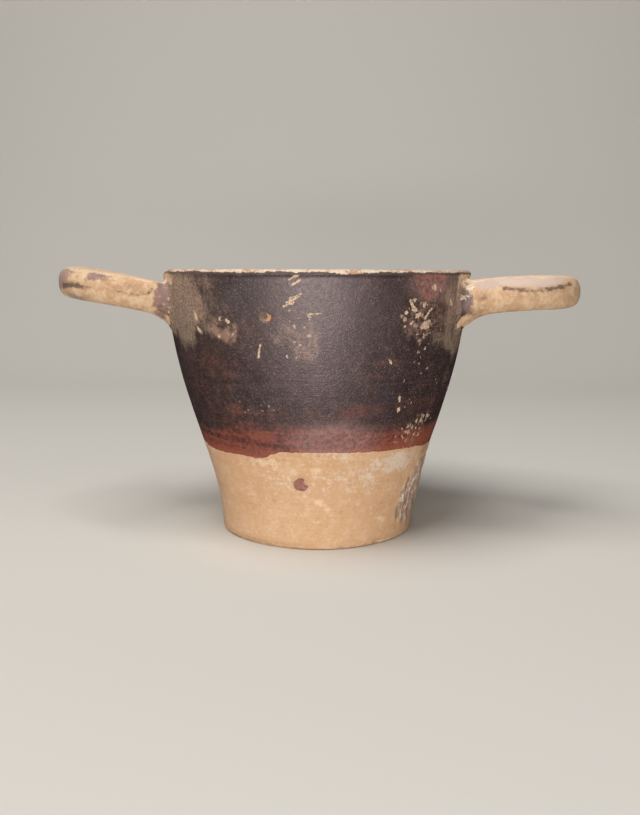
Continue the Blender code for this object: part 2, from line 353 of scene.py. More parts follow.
# what time did to the surface, in millimetres and in degrees round the axis: -90 in front, 0 at the right
wear = {
    # borders as (angle, z): the slip's lower edge, the red band's top and the olive zone's lower edge
    "slipEdge": [
        (-180, 34.8), (-157, 36.7), (-152, 35.8), (-138, 35.6), (-124, 35.8), (-116, 35.5), (-112, 35.7),
        (-107, 37.6), (-103, 38.5), (-87, 38.7), (-72, 38.3), (-49, 37.7), (-36, 37.3), (-23, 36.3),
        (0, 36.4), (40, 38.6), (80, 36.4), (120, 38.0), (150, 35.4), (180, 34.8),
    ],
    "redTop": [
        (-180, 41.6), (-145, 42.6), (-121, 46.2), (-94, 46.6), (-78, 46.4), (-60, 44.8), (-35, 43.6),
        (0, 43.8), (60, 47.2), (120, 43.4), (180, 41.6),
    ],
    "oliveFloor": [
        (-180, 75.0), (-145, 75.8), (-130, 79.0), (-50, 77.0), (-25, 73.4), (10, 73.6), (180, 75.0),
    ],
    # the crust's left border, as (z, angle)
    "crustLeft": [(0, -34), (3, -37), (11, -38), (17, -37), (23, -33), (28, -27), (32, -22), (40, -12)],
    # (angle, z, half width, half height, depth)
    "dents": [
        (-104, 86.9, 1.5, 1.3, 0.45), (-9, 53.0, 3.0, 3.6, 0.55), (-13, 57.5, 2.2, 2.0, 0.35),
        (-130, 90.0, 2.4, 6.5, 0.12), (-51, 0.6, 2.6, 1.6, 0.8), (-58, 0.2, 1.8, 1.2, 0.5),
        (-74, 0.4, 2.2, 1.0, 0.5), (-86, 18.9, 2.4, 1.6, 0.15), (72, 61.0, 3.4, 2.6, 0.5),
        (128, 1.0, 5.0, 2.2, 0.9), (98, 84.0, 1.6, 1.6, 0.5),
    ],
    "lipNicks": [
        (-113, 101.8, 1.3, 1.1, 0.5), (-105, 101.7, 1.2, 1.1, 0.5), (-84, 102.6, 1.6, 0.8, 0.3),
        (-60, 102.4, 1.4, 0.9, 0.35), (-128, 102.6, 2.0, 0.7, 0.3), (70, 102.4, 3.0, 1.4, 0.6),
        (118, 102.0, 2.2, 1.6, 0.6),
    ],
    # (angle, z, half width, half height, lean in degrees)
    "slipSpots": [(-95, 26.0, 2.7, 2.6, 0)],
    "bareSpots": [
        (-92.2, 26.8, 1.6, 0.9, 0), (-104, 86.9, 1.5, 1.3, 0), (-9, 53.0, 2.0, 3.0, 0),
        (-13, 57.5, 1.2, 1.4, 0), (-166, 99.6, 9.5, 3.2, 0), (-16, 99.4, 7.0, 3.4, 0),
        (-23.5, 83.6, 1.3, 2.6, 0), (161, 98.6, 5.0, 2.6, 0), (18, 99.0, 5.0, 2.6, 0),
        (72, 61.0, 2.6, 1.9, 0), (98, 84.0, 1.3, 1.1, 0),
    ],
    "paleSpots": [
        (-166, 97.5, 6.0, 4.5, 0), (-14, 98.6, 8.0, 5.0, 0), (-134.5, 86.7, 0.9, 1.8, 15),
        (-133.5, 81.8, 1.7, 0.8, -40), (-86, 18.9, 2.8, 1.7, -20), (-82, 16.0, 1.5, 1.6, 0),
        (-50, 10.1, 2.6, 1.3, -15), (-98.5, 31.2, 1.6, 1.2, 0), (-101, 28.2, 2.4, 1.0, 0),
        (-104, 30.8, 1.2, 0.9, 0), (-113, 33.8, 2.2, 1.3, 0), (-108, 34.6, 1.6, 1.6, 0),
        (-107, 32.0, 1.4, 1.0, 0), (-88, 31.5, 2.4, 1.3, 0), (-34, 7.0, 1.0, 1.8, 0),
        (-27.5, 97.0, 0.8, 4.2, 0), (-24.0, 96.5, 0.9, 4.4, 0), (-22.5, 85.0, 0.9, 2.2, -14),
    ],
    # (angle, z, half width, half height, strength)
    "oliveZones": [
        (-164, 90.0, 58.0, 40.0, 1.0), (-20, 82.0, 30.0, 28.0, 0.75), (24, 86.0, 30.0, 34.0, 0.9),
        (160, 88.0, 30.0, 30.0, 0.9),
    ],
    "redZones": [
        (-46, 99.4, 13.0, 8.0, 1.15), (-95, 26.0, 6.0, 6.0, 1.0), (-131, 60.0, 20.0, 18.0, 0.16),
        (-112, 48.0, 34.0, 12.0, 0.3), (-76, 48.0, 34.0, 12.0, 0.32), (-38, 50.0, 18.0, 16.0, 0.18),
        (-64, 68.0, 9.0, 7.0, 0.14), (60, 96.0, 26.0, 9.0, 0.5), (130, 56.0, 26.0, 16.0, 0.34),
    ],
    "tanZones": [
        (-129.5, 92.0, 3.6, 9.5, 1.0), (-131.0, 86.0, 3.2, 5.0, 0.8), (-121.5, 83.0, 6.0, 6.0, 0.95),
        (-95, 80.0, 8.0, 10.0, 0.62), (-95, 26.0, 5.0, 5.0, 0.75), (-110, 79.0, 14.0, 7.0, 0.3),
        (-46, 85.0, 11.0, 15.0, 0.6), (-24, 62.0, 10.0, 12.0, 0.4), (-34, 92.0, 5.0, 8.0, 0.5),
        (-40, 44.0, 10.0, 9.0, 0.5), (-118, 57.0, 16.0, 6.0, 0.2), (-44, 98.0, 14.0, 7.0, 0.6),
        (62, 78.0, 16.0, 16.0, 0.6), (138, 88.0, 12.0, 12.0, 0.6),
    ],
    "rustZones": [
        (-111, 44.2, 9.0, 3.4, 0.85), (-104, 86.9, 2.6, 2.6, 1.0), (-121, 42.4, 8.0, 2.4, 0.35),
        (-95, 26.0, 5.0, 5.0, 0.5), (-98, 43.0, 9.0, 3.0, 0.3), (44, 43.0, 9.0, 3.0, 0.7),
    ],
    "blueZones": [
        (-113, 96.0, 13.0, 11.0, 0.9), (-60, 55.0, 12.0, 12.0, 0.8), (-64, 88.0, 8.0, 9.0, 0.5),
        (-112, 60.0, 8.0, 9.0, 0.5), (84, 70.0, 30.0, 18.0, 0.7),
    ],
    "flakeZones": [
        (-51, 87.5, 10.0, 8.0, 1.2), (-47, 82.5, 8.0, 9.0, 1.1), (-50, 69.0, 12.0, 12.0, 0.4),
        (-47.5, 77.0, 5.0, 6.0, 1.0), (-43, 95.0, 5.0, 4.5, 0.9), (-33, 93.5, 4.5, 6.0, 0.85),
        (-39, 82.0, 6.0, 6.0, 0.6), (-45, 70.0, 7.0, 9.0, 0.6), (-44, 42.5, 9.0, 7.0, 1.45),
        (-34, 47.0, 9.0, 7.0, 1.4), (-50, 57.0, 6.0, 6.0, 0.7), (-35, 60.0, 9.0, 6.0, 0.5),
        (-66, 58.0, 14.0, 5.0, 0.15), (-58, 98.8, 6.0, 2.0, 0.6), (-94, 80.0, 10.0, 11.0, 0.62),
        (-97, 91.0, 6.0, 4.0, 0.6), (-121, 83.5, 8.0, 7.0, 0.85), (-110, 85.0, 14.0, 10.0, 0.25),
        (-115, 57.0, 18.0, 6.0, 0.55), (-88, 88.0, 9.0, 2.4, 0.65), (-158, 92.5, 7.0, 11.0, 1.5),
        (-22, 95.0, 8.0, 8.0, 1.15), (62, 76.0, 20.0, 18.0, 0.7), (110, 48.0, 16.0, 10.0, 0.6),
        (140, 90.0, 12.0, 10.0, 0.6),
    ],
    # haze on the bare clay is lime; the zone at (-80, 42.5) lies on the slip and paints a sheen there
    "hazeAndSheenZones": [
        (-46, 32.5, 20.0, 6.5, 1.0), (-64, 27.0, 15.0, 10.0, 0.6), (-90, 27.0, 24.0, 10.0, 0.5),
        (-112, 33.5, 9.0, 3.5, 0.7), (-80, 42.5, 22.0, 11.0, 0.9), (-44, 98.0, 16.0, 9.0, 0.9),
        (50, 22.0, 30.0, 14.0, 0.6),
    ],
    "grimeZones": [
        (-21, 35.5, 5.0, 5.0, 0.8), (-24, 88.0, 4.0, 8.0, 0.7), (-105.0, 87.2, 2.6, 2.0, 1.25),
        (-10, 54.0, 6.0, 7.0, 1.0), (72, 61.0, 5.0, 4.0, 0.9),
    ],
    # scratches and larger single flakes: both ends as (angle, z), then half the width
    "scratches": [
        ((-93, 101.2), (-96, 99.7), 0.3), ((-92.6, 99.4), (-95, 97.9), 0.26),
        ((-92, 95.1), (-96, 93.4), 0.24), ((-92.8, 94.2), (-97, 92.1), 0.28),
        ((-95, 92.0), (-98, 90.9), 0.34), ((-86, 88.5), (-90, 88.2), 0.22),
        ((-107, 77.7), (-108, 73.4), 0.3), ((-44, 89.6), (-47, 86.2), 0.4),
        ((-61, 72.4), (-59.6, 70.8), 0.22), ((-53.6, 91.4), (-52.2, 89.0), 0.55),
        ((-51.2, 86.8), (-49.8, 87.6), 0.7), ((-47.0, 84.2), (-46.4, 83.0), 0.7),
        ((-43.6, 97.2), (-43.2, 96.4), 0.7), ((-32.8, 92.0), (-31.8, 90.8), 0.7),
        ((-53.6, 58.4), (-53.2, 57.0), 0.55), ((-52.8, 53.8), (-52.6, 53.2), 0.75),
        ((-134.6, 87.2), (-134.2, 86.0), 0.5), ((-134.0, 82.4), (-132.8, 81.4), 0.5),
        ((-119.4, 85.8), (-118.6, 85.2), 0.6), ((64, 92.0), (70, 88.0), 0.3),
        ((132, 66.0), (126, 61.0), 0.3),
    ],
    # worn film on the handles, as balls: middle, half sizes, share of brown in it
    "film": [
        ((-57.0, -23.5, 91.0), (3.6, 5.0, 6.6), 1.0), ((-98.5, -13.5, 100.4), (6.0, 9.5, 6.0), 0.85),
        ((-91.5, -19.0, 103.6), (4.5, 4.5, 2.4), 0.9), ((-81.3, -24.8, 100.8), (6.4, 4.0, 2.5), 1.0),
        ((-91.0, -20.0, 92.0), (7.0, 4.0, 2.0), 0.7), ((77.0, -24.0, 100.8), (20.0, 9.0, 5.0), 0.12),
        ((64.0, -25.5, 97.8), (6.5, 4.0, 2.8), 0.3), ((57.4, -24.0, 90.0), (2.6, 3.2, 5.0), 1.0),
        ((-88.0, 22.0, 99.0), (8.0, 6.0, 4.0), 0.6), ((90.0, 20.0, 96.0), (10.0, 6.0, 3.5), 0.5),
        ((-72.0, 22.0, 97.0), (6.0, 5.0, 4.0), 0.8), ((98.0, 6.0, 99.0), (6.0, 9.0, 4.0), 0.4),
    ],
    # grime on the handles, along lines of points: half the width, strength
    "handleGrime": [
        ([(69, -27.6, 96), (75, -27.7, 95.5), (80, -27, 95.2), (86, -25, 95.9)], 1.0, 1.1),
        ([(86, -25, 95.9), (91, -22, 96.6), (95, -18.5, 97.6)], 1.2, 1.1),
        ([(73.0, -27.9, 93.6), (75.0, -27.9, 93.2)], 0.9, 0.7),
        ([(-96.5, -16.5, 96.8), (-91, -21, 97.2), (-88.7, -22.8, 96.6)], 1.4, 1.3),
        ([(-88.7, -22.8, 96.6), (-83.3, -24.7, 96.2)], 1.0, 1.2),
        ([(-77, -26.5, 97.6), (-71, -27.2, 96.6), (-65, -27.4, 96.4)], 3.0, 0.55),
        ([(-92, -20.5, 92.4), (-84, -24, 92.0)], 1.0, 0.5),
        ([(-97, -16, 99.8), (-90, -21.5, 100.2), (-86, -23.2, 100.6)], 0.5, 0.8),
        ([(-74, -27, 95.6), (-70, -27.3, 94.2), (-65, -27.2, 93.2)], 0.8, 0.95),
        ([(-65, -27.2, 93.2), (-61, -26.6, 94.2), (-60, -26.2, 96.4)], 0.9, 0.95),
        ([(-57.4, -25.4, 88.8), (-55.4, -24.8, 86.4)], 1.6, 0.9),
        ([(-57.6, -25.8, 88.0), (-56.2, -25.6, 86.8)], 1.2, 1.0),
        ([(58.6, -24.6, 86.4), (61.5, -25.6, 88.6)], 2.4, 0.7),
        ([(60.0, -25.4, 91.5), (62.6, -26.4, 93.0)], 1.6, 0.9),
        ([(78, -27.4, 93.4), (86, -25.2, 94.0), (94, -19.5, 95.4)], 1.4, 0.5),
    ],
}

# what each point of the surface is told, for the finish to read
fields = ["arm", "slip", "lipBare", "red", "rust", "tan", "olive", "blue", "flakes", "haze", "crust", "grime"]
fields += ["pale", "film", "filmShare", "inside"]
nowhere = -5.0  # millimetres, a field's value well outside its patches


def noiseAt(point, size, seed=0.0):
    # signed, about -1 to 1, with features about size millimetres across
    return noise.noise(Vector((point.x / size + seed, point.y / size - seed, point.z / size + 2 * seed)))


def along(points, place):
    # the value of a line of (place, value) points, eased between them
    for (start, low), (end, high) in zip(points, points[1:]):
        if place <= end:
            return low + (high - low) * smoothStep((place - start) / (end - start))
    return points[-1][1]


def inPatch(patch, angle, z, radius):
    # millimetres inside the patch's edge, negative outside
    middle, height, wide, tall, lean = patch
    across = math.radians(turnBetween(middle, angle)) * radius
    up = z - height
    lean = math.radians(lean)
    flat = (across * math.cos(lean) + up * math.sin(lean)) / wide
    upright = (up * math.cos(lean) - across * math.sin(lean)) / tall
    return (1 - math.hypot(flat, upright)) * min(wide, tall)


def deepest(patches, angle, z, radius):
    return max(inPatch(patch, angle, z, radius) for patch in patches)


def zoneAt(zones, angle, z, radius):
    total = 0.0
    for middle, height, wide, tall, share in zones:
        across = math.radians(turnBetween(middle, angle)) * radius / wide
        reach = math.hypot(across, (z - height) / tall)
        if reach < 1:
            total = max(total, share * smoothStep((1 - reach) * 1.6))
    return total


def filmAt(point):
    depth, share = nowhere, 0.0
    for middle, size, brown in wear["film"]:
        offset = [(point[i] - middle[i]) / size[i] for i in range(3)]
        inner = (1 - math.hypot(*offset)) * min(size)
        if inner > depth:
            depth, share = inner, brown
    return depth, share


def grimeAt(point):
    total = 0.0
    for line, half, share in wear["handleGrime"]:
        for start, end in zip(line, line[1:]):
            start, end = Vector(start), Vector(end)
            reach = intersect_point_line(point, start, end)[1]
            gap = (point - start.lerp(end, min(max(reach, 0.0), 1.0))).length
            total = max(total, share * smoothStep(1.5 - gap / half))
    return total


def crustAt(point, angle, z, radius):
    # the lime crust runs up to the right from the foot, along a clear left border, and thins out to the right
    across = math.radians(turnBetween(along(wear["crustLeft"], z), angle)) * radius
    right = math.radians(turnBetween(angle, 10.0)) * radius + 16 * noiseAt(point, 11.0, 4.2)
    ragged = z + 7 * noiseAt(point, 7.0, 9.7)
    ends = smoothStep((ragged - 2) / 9) * smoothStep((35 - ragged) / 8)
    return smoothStep(across / 5.0 + 0.5) * smoothStep(right / 26.0) * ends


def lipShift(angle, z):
    nearLip = smoothStep((z - cup["height"] + cup["sagDepth"]) / cup["sagDepth"])
    dip = cup["lipDip"] * bell(turnBetween(cup["dipAngle"], angle) / cup["dipSpread"])
    tilt = cup["lipTilt"] * math.cos(math.radians(turnBetween(cup["tiltAngle"], angle)))
    return nearLip * (tilt - dip)


def swelling(angle, z, radius):
    across = math.radians(turnBetween(cup["swellAngle"], angle)) * radius / cup["swellWidth"]
    return cup["swellRise"] * bell(across) * bell((z - cup["swellMiddle"]) / cup["swellHeight"])


def wallRelief(point, angle, z, radius, crust):
    # how far a point of the outside moves along its normal: hand and wheel, crust, chips and wear
    move = -0.14 + 0.12 * noiseAt(point, 26.0, 3.1) + 0.05 * noiseAt(point, 7.0, 1.7)
    move += 0.03 * noiseAt(point, 1.6, 5.3)
    move += 0.02 * noise.noise(Vector((point.x / 40, point.y / 40, z / 1.9)))
    if crust > 0:
        ridges = noiseAt(Vector((point.x, point.y, z * 0.4)), 2.6, 8.2)
        move += crust * (0.15 + 0.8 * max(ridges + 0.4 * noiseAt(point, 1.5, 2.2), -0.3))
    for *place, deep in wear["dents"] + wear["lipNicks"]:
        depth = inPatch((*place, 0), angle, z, radius)
        if depth > -1:
            move -= deep * smoothStep((depth + 0.35 * noiseAt(point, 1.3, 9.4)) / 0.8)
    footWorn = smoothStep((3.2 - z) / 3.2) * bell(turnBetween(-122, angle) / 40)
    return move - 0.9 * footWorn


def fieldsAt(point, angle, z, radius, offWall, facing, inside, under):
    values = dict.fromkeys(fields, 0.0)
    values["pale"] = values["film"] = nowhere
    belowLip = cup["height"] - z
    band = 1.0 + 0.45 * noise.noise(Vector((angle / 6, 0.3, 0))) + 0.9 * bell(turnBetween(-77, angle) / 8)
    values["lipBare"] = band - belowLip if offWall < 2 else nowhere
    if inside:
        values.update(slip=20.0, inside=1.0, flakes=0.3, red=0.25)
        return values
    if under:
        values["slip"] = -20.0
        return values
    onArm = smoothStep((offWall - 0.6) / 1.4)
    # the slip ran out on the arms a little way from the wall, and further on the back ones
    arm = (1.0 if point.x < 0 else 1.8) + 2.4 * smoothStep((z - 84.5) / 4)
    if point.y > 0:
        arm = 4.0
    slip = z - along(wear["slipEdge"], angle)
    slip = max(slip, deepest(wear["slipSpots"], angle, z, radius))
    slip = min(slip, 0.5 * noiseAt(point, 2.0, 5.7) - deepest(wear["bareSpots"], angle, z, radius))
    values["slip"] = min(slip, arm - offWall + 0.35 * arm * noiseAt(point, 3.0, 4.4))
    values["film"], values["filmShare"] = filmAt(point)
    if offWall > 0.7:
        values["grime"] = grimeAt(point)
    values["arm"] = onArm
    near = 1 - onArm
    # no patch is a true oval: each is read from a place a little off
    shownAngle = angle + 8.0 * noiseAt(point, 14.0, 3.3) + 3.5 * noiseAt(point, 5.0, 8.8)
    shownZ = z + 6.0 * noiseAt(point, 12.0, 6.9) + 3.0 * noiseAt(point, 4.5, 2.4)
    redEdge = smoothStep((along(wear["redTop"], angle) - z) / 8.0 + 0.55)
    values["red"] = near * max(1.2 * redEdge, zoneAt(wear["redZones"], shownAngle, shownZ, radius))
    values["rust"] = near * zoneAt(wear["rustZones"], angle, z, radius)
    values["tan"] = near * zoneAt(wear["tanZones"], shownAngle, shownZ, radius)
    filmed = smoothStep((shownZ - along(wear["oliveFloor"], angle)) / 6.0 + 0.5)
    values["olive"] = near * filmed * zoneAt(wear["oliveZones"], shownAngle, shownZ, radius)
    values["blue"] = near * zoneAt(wear["blueZones"], shownAngle, shownZ, radius)
    values["flakes"] = zoneAt(wear["flakeZones"], angle, z, radius)
    values["haze"] = near * zoneAt(wear["hazeAndSheenZones"], angle, z, radius)
    values["crust"] = near * crustAt(point, angle, z, radius)
    values["grime"] = max(values["grime"], near * zoneAt(wear["grimeZones"], angle, z, radius))
    if offWall < 5:
        restEdge = 1.0 - z if radius > cup["baseRadius"] - 3 else nowhere
        values["pale"] = max(deepest(wear["paleSpots"], angle, z, radius), restEdge)
        beside = (handles["rootAngle"] + 9 - min(abs(angle), 180 - abs(angle))) * 0.5
        values["pale"] = max(values["pale"], min(z - 97.5, beside, 2.0) + 1.8 * noiseAt(point, 3.5, 6.6))
    if offWall > 3:
        # the up-facing tops of the arms are painted pale: a painted top light, standing in for light from
        # above
        values["pale"] = max(values["pale"], 7 * (facing - 0.8) + 1.2 * noiseAt(point, 6.0, 2.2))
    # a painted shadow line just above the foot, carried in the same field as the grime
    footShade = 0.45 * bell((z - 2.2) / 1.6)
    values["grime"] = max(values["grime"], footShade)
    return values


def finishCup(mesh):
    # read the wear on the true shape, then give the surface its relief
    build = bmesh.new()
    build.from_mesh(mesh)
    bmesh.ops.remove_doubles(build, verts=build.verts, dist=0.02)
    smoothRoots(build)
    build.normal_update()
    layers = {name: build.verts.layers.float.new(name) for name in fields}
    for vert in build.verts:
        point = vert.co.copy()
        radius = math.hypot(point.x, point.y)
        angle = math.degrees(math.atan2(point.y, point.x))
        z = point.z
        offWall = gapToWall(point)
        inside = offWall < -0.45 * cup["lipWall"] and z > cup["floor"] - 0.5
        under = z < 0.7 and radius < cup["baseRadius"] - 1
        values = fieldsAt(point, angle, z, radius, offWall, vert.normal.z, inside, under)
        for name, value in values.items():
            vert[layers[name]] = value

        shift = Vector((0, 0, lipShift(angle, z) * (1 - smoothStep(offWall / 5))))
        if inside:
            rings = 0.22 * math.sin(z * 0.85 + 0.012 * angle) * smoothStep((cup["height"] - 6 - z) / 10)
            move = rings * smoothStep((z - cup["floor"]) / 8) - 0.1 + 0.1 * noiseAt(point, 20.0, 6.1)
            if z < cup["floor"] + 1.5:
                move += 0.25 * math.sin(radius * 1.1 + math.radians(angle))
        elif under:
            move = -0.06 * (1 + math.sin(radius * 2.4 + math.radians(angle))) if z > 0.02 else 0.0
        else:
            onArm = smoothStep((offWall - 0.4) / 1.2)
            move = 0.0
            if onArm < 1:
                move += (1 - onArm) * wallRelief(point, angle, z, radius, values["crust"])
                shift += Vector((point.x, point.y, 0)) / radius * swelling(angle, z, radius) * (1 - onArm)
            if onArm > 0:
                uneven = -0.22 + 0.28 * noiseAt(point, 13.0, 7.7) + 0.12 * noiseAt(point, 4.5, 2.9)
                move += onArm * (uneven + 0.05 * noiseAt(point, 1.7, 1.1) - 0.12 * values["grime"])
        vert.co = point + shift + vert.normal * move
        vert.co.z = max(vert.co.z, 0.0)
    bmesh.ops.scale(build, vec=(mm, mm, mm), verts=build.verts)
    build.to_mesh(mesh)
    build.free()
    mesh.shade_smooth()


body = throwCup()
print("cup thrown:", len(body.data.vertices), "points")
loops = [rollHandle(name + "Loop", handles[name]) for name in ("left", "right")]
skyphosMesh = luteHandles(body, loops)
print("handles luted:", len(skyphosMesh.vertices), "points")
finishCup(skyphosMesh)
skyphos = bpy.data.objects.new("firedCup", skyphosMesh)
bpy.context.collection.objects.link(skyphos)
skyphosMesh.calc_loop_triangles()
print("surface worn:", len(skyphosMesh.loop_triangles), "triangles")


def linear(hexColour):
    channels = [int(hexColour[i : i + 2], 16) / 255 for i in (1, 3, 5)]
    return [c / 12.92 if c <= 0.04045 else ((c + 0.055) / 1.055) ** 2.4 for c in channels] + [1.0]


def addNode(tree, kind, settings, *inputs, output=None):
    # the one way a node is added: its settings, then its shown inputs in order or by name, linked or set
    node = tree.nodes.new("ShaderNode" + kind)
    for name, value in settings.items():
        setattr(node, name, value)
    shown = [socket for socket in node.inputs if socket.enabled]
    if inputs and isinstance(inputs[0], dict):
        pairs = [(node.inputs[name], value) for name, value in inputs[0].items()]
    else:
        pairs = zip(shown, inputs)
    for socket, value in pairs:
        if isinstance(value, bpy.types.NodeSocket):
            tree.links.new(value, socket)
        elif value is not None:
            socket.default_value = value
    return next((socket for socket in node.outputs if socket.enabled and output in (None, socket.name)), None)


# fired clay thrown on the wheel: buff, matt and open-grained where bare. A thin iron slip was dipped on and
# sintered to a low sheen, dark brown where it is whole, red along its lower edge where it is thin
finish = {
    "clay": "#cfa67b",
    "clayWarm": "#cd9f70",
    "clayPale": "#e4c6a0",
    "clayDeep": "#b78658",
    "armPale": "#cfb591",
    "armTan": "#b2895f",
    "slip": "#291814",
    "slipLight": "#492f2b",
    "slipBlue": "#2a2429",
    "slipBrown": "#3c281c",
    "slipRed": "#4a1509",
    "slipRedLight": "#9e4829",
    "slipTan": "#9c7660",
    "slipHazeAndSheen": "#b88f88",
    "fleck": "#8c7573",
    "slipRust": "#9c4822",
    "olive": "#aa917a",
    "oliveDark": "#6d5747",
    "flake": "#dcbd9b",
    "flakeDim": "#9a7c68",
    "lip": "#cdbca4",
    "lipBrown": "#a8805c",
    "lipShade": "#38210f",
    "lime": "#d9c9b8",
    "limeBright": "#ece0d0",
    "crust": "#a9836a",
    "crustShade": "#54402f",
    "grime": "#4a3423",
    "grimeAndShadeLight": "#8a6540",
    "film": "#cbb7aa",
    "filmDark": "#7c5b54",
    "slipGloss": 0.5,
    "wornGloss": 0.6,
    "clayMatt": 0.85,
    "ior": 2.32,
    "sheen": (1.0, 0.85, 0.87, 1.0),
}

times = {"operation": "MULTIPLY"}
plus = {"operation": "ADD"}
minus = {"operation": "SUBTRACT"}
most = {"operation": "MAXIMUM"}
least = {"operation": "MINIMUM"}
eased = {"interpolation_type": "SMOOTHSTEP"}
blend = {"data_type": "RGBA"}
wallRadius = 57.0  # millimetres, where the wall is unrolled


def surfacePatterns(add):
    # noise sizes are millimetres on the real cup: clay grit, speckle, mottling, drift, wheel marks, runs
    coordinates = add("TexCoord", {}, output="Object")
    place = add("Mapping", {}, coordinates, None, None, (1000, 1000, 1000))
    rings = add("Mapping", {}, coordinates, None, None, (30, 30, 1000))
    upright = add("Mapping", {}, coordinates, None, None, (1000, 1000, 400))
    # the wall unrolled to millimetres, for scratches and flakes
    axes = add("SeparateXYZ", {}, place).node.outputs
    turn = add("Math", {"operation": "ARCTAN2"}, axes["Y"], axes["X"])
    unrolled = add("CombineXYZ", {}, add("Math", times, turn, wallRadius), axes["Z"], 0)
    bent = add("TexNoise", {}, place, 1 / 1.3, 3, 0.65, output="Color")
    bent = add("VectorMath", {"operation": "MULTIPLY_ADD"}, bent, (2.4, 2.4, 0), unrolled)
    pattern = {
        "grit": add("TexNoise", {}, place, 1 / 0.6, 2, 0.6),
        "speckle": add("TexNoise", {}, place, 1 / 1.3, 4, 0.7),
        "mottle": add("TexNoise", {}, place, 1 / 5.0, 5, 0.65),
        "drift": add("TexNoise", {}, place, 1 / 22.0, 4, 0.6),
        "wheel": add("TexNoise", {}, rings, 1 / 1.0, 4, 0.65),
        "bands": add("TexNoise", {}, rings, 1 / 4.5, 2, 0.5),
        "runs": add("TexNoise", {}, upright, 1 / 1.2, 4, 0.65),
        "chips": add("TexVoronoi", {"voronoi_dimensions": "2D"}, bent, 1 / 1.6),
    }
    streaky = add("Mapping", {}, coordinates, None, None, (1000, 1000, 120))
    pattern["streaks"] = add("TexNoise", {}, streaky, 1 / 1.8, 3, 0.6)
    pattern["wobble"] = add("Math", minus, add("TexNoise", {}, place, 1 / 1.5, 4, 0.6), 0.5)
    pattern["unrolled"] = unrolled
    # turning marks show from the slip's edge to two thirds up
    fadeIn = add("MapRange", eased, axes["Z"], 38, 50)
    pattern["low"] = add("Math", times, fadeIn, add("MapRange", eased, axes["Z"], 78, 62))
    return pattern


def clayTone(add, pattern, field, tone):
    warm = add("MapRange", eased, pattern["drift"], 0.36, 0.64, 0, 0.8)
    clay = add("Mix", blend, warm, tone["clay"], tone["clayWarm"])
    cloudy = add("MapRange", eased, pattern["mottle"], 0.42, 0.72, 0, 0.4)
    clay = add("Mix", blend, cloudy, clay, tone["clayPale"])
    turned = add("MapRange", eased, pattern["wheel"], 0.5, 0.7, 0, 0.3)
    clay = add("Mix", blend, turned, clay, tone["clayDeep"])
    pitted = add("MapRange", eased, pattern["speckle"], 0.44, 0.3, 0, 0.6)
    clay = add("Mix", blend, pitted, clay, tone["clayDeep"])
    lit = add("MapRange", eased, pattern["speckle"], 0.56, 0.68, 0, 0.6)
    clay = add("Mix", blend, lit, clay, tone["clayPale"])
    stained = add("Math", plus, pattern["mottle"], add("Math", times, pattern["wobble"], 0.6))
    arm = add("Mix", blend, add("MapRange", eased, stained, 0.36, 0.62), tone["armPale"], tone["armTan"])
    clay = add("Mix", blend, add("Math", times, field["arm"], 0.75), clay, arm)
    clay = add("Mix", blend, add("Math", times, field["rust"], 0.8), clay, tone["clayDeep"])
    limed = add("Math", times, field["haze"], 0.28)
    limed = add("Math", plus, limed, add("Math", times, pattern["mottle"], 0.6))
    limed = add("Math", plus, limed, add("Math", times, pattern["speckle"], 0.8))
    limed = add("MapRange", eased, limed, 0.82, 1.06, 0, 0.75)
    return add("Mix", blend, limed, clay, tone["lime"])


